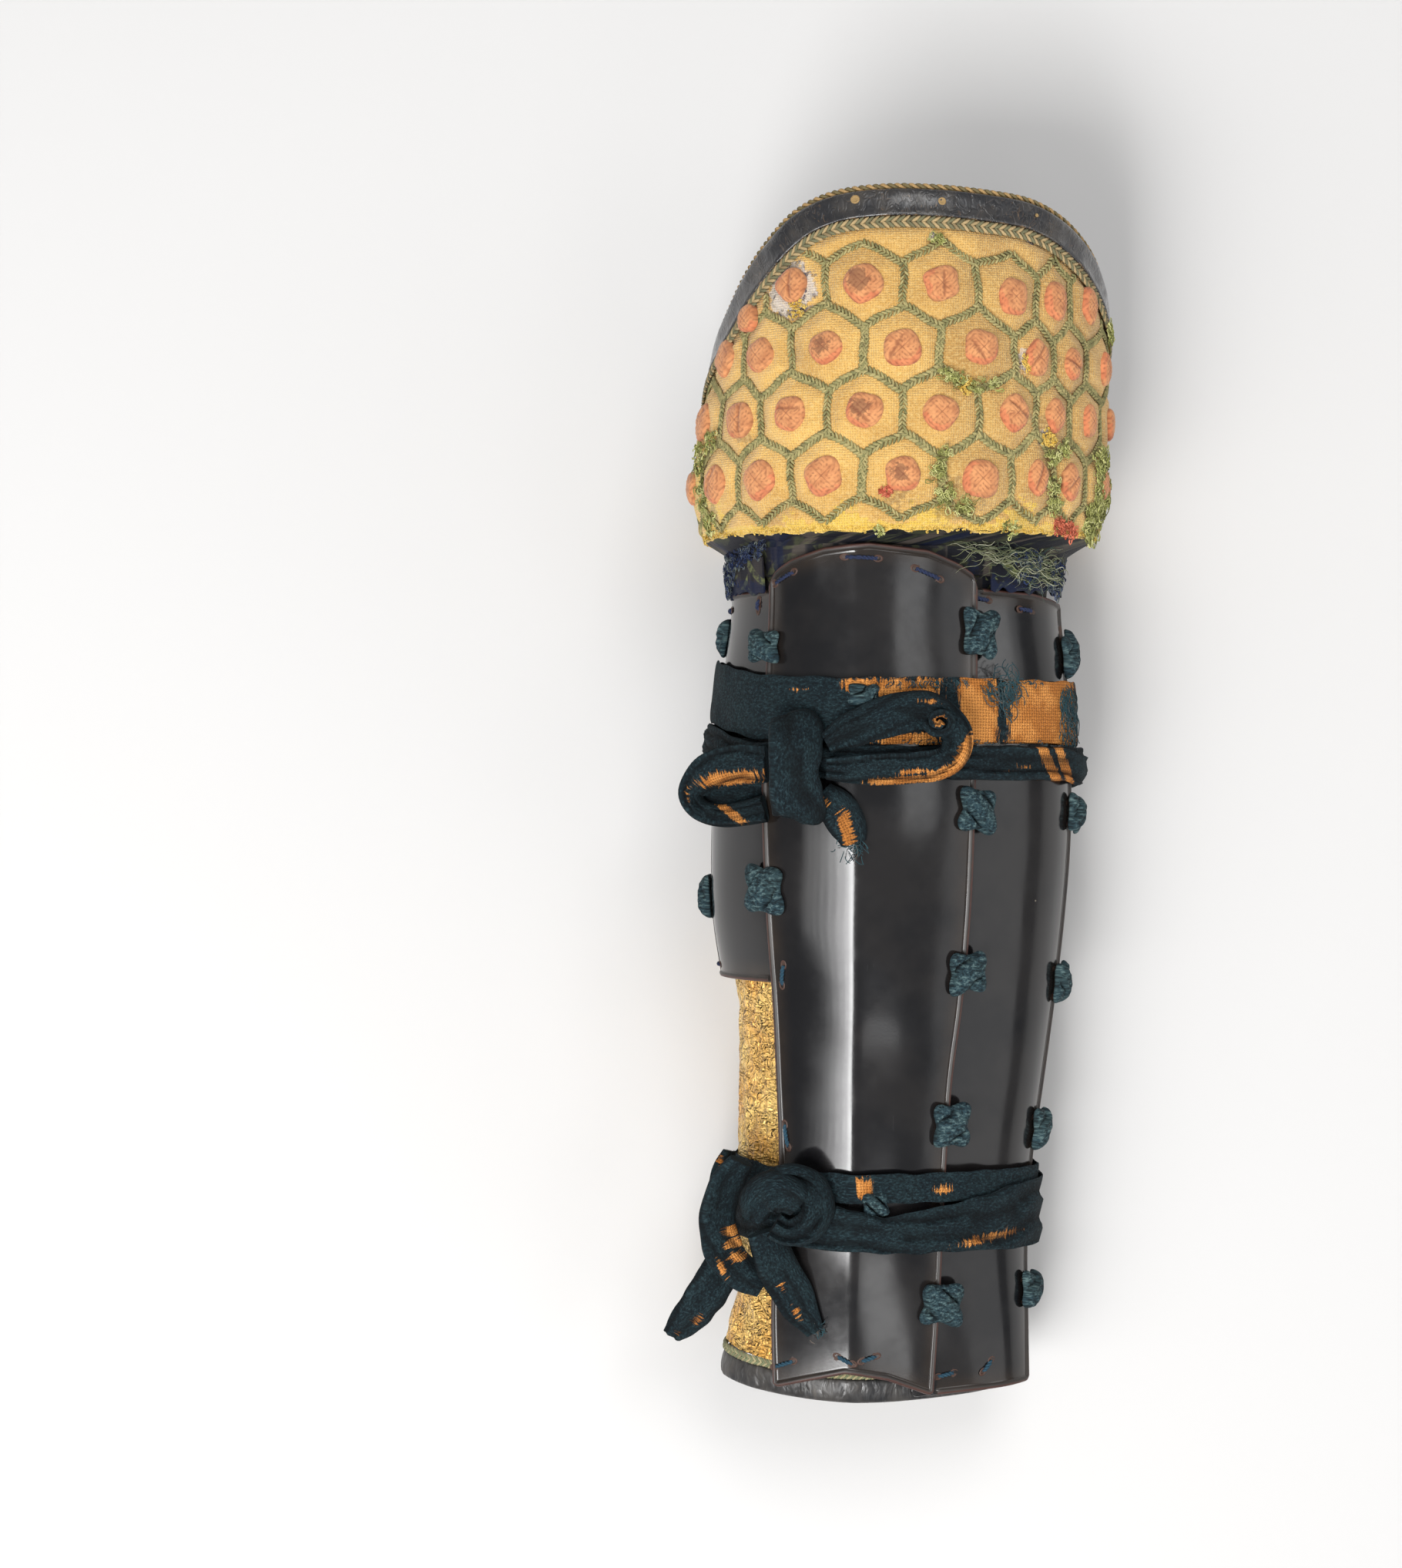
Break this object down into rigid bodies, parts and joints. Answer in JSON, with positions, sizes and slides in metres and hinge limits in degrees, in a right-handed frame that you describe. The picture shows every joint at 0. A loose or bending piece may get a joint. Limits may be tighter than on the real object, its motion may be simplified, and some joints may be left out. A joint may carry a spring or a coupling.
{
  "type": "samurai shin guard",
  "caption": "Samurai shin guard of black lacquered plates on brocade, with a large quilted knee guard in a hexagon pattern and two cloth ties, lying on its back.",
  "frame": {"origin": "centre of the bounding box's bottom, on the surface that the guard lies on", "axes": "+Y along the shin towards the knee, +Z out of the shin's front, +X towards the outer side of the left leg"},
  "size_m": [0.1697, 0.4481, 0.1493],
  "materials": {
    "quilted_wool": "matt wool with salmon stitched bosses and olive braid",
    "lining_leather": "crinkled, glossy lacquer",
    "black_leather": "cracked, half-gloss",
    "herringbone_braid": "matt braid, cream and grey-green",
    "edge_cord": "matt twisted cord",
    "navy_brocade": "silk brocade with a grey-brown and yellow-green pattern",
    "gilt_leather": "crinkled gilding with dark cracks",
    "black_lacquer": "half-gloss lacquer, red-brown at the worn rims",
    "teal_crepe": "matt crepe, worn through to orange canvas in places"
  },
  "bodies": {
    "root": {"gold_leather": "gilt_leather", "hem_braid": "herringbone_braid", "hem_leather": "black_leather", "knee_border": "black_leather", "knee_braid": "herringbone_braid", "knee_cloth": "quilted_wool", "knee_cord": "edge_cord", "knee_lining": "lining_leather", "lacing_01": "teal_crepe", "lacing_02": "teal_crepe", "lacing_03": "teal_crepe", "lacing_04": "teal_crepe", "lacing_05": "teal_crepe", "lacing_06": "teal_crepe", "lacing_07": "teal_crepe", "lacing_08": "teal_crepe", "lacing_09": "teal_crepe", "lacing_10": "teal_crepe", "lacing_11": "teal_crepe", "lacing_12": "teal_crepe", "lacing_13": "teal_crepe", "lacing_14": "teal_crepe", "lower_tie_knot": "teal_crepe", "lower_tie_left_end": "teal_crepe", "lower_tie_left_tail": "teal_crepe", "lower_tie_over": "teal_crepe", "lower_tie_right_tail": "teal_crepe", "lower_tie_strip": "teal_crepe", "lower_tie_under": "teal_crepe", "plate_centre": "black_lacquer", "plate_inner_1": "black_lacquer", "plate_inner_2": "black_lacquer", "plate_outer_1": "black_lacquer", "plate_outer_2": "black_lacquer", "seam_roll": "navy_brocade", "shin_cloth": "navy_brocade", "upper_tie_flat": "teal_crepe", "upper_tie_knot": "teal_crepe", "upper_tie_left_loop": "teal_crepe", "upper_tie_right_loop": "teal_crepe", "upper_tie_second": "teal_crepe", "upper_tie_tail": "teal_crepe"}
  },
  "joints": []
}
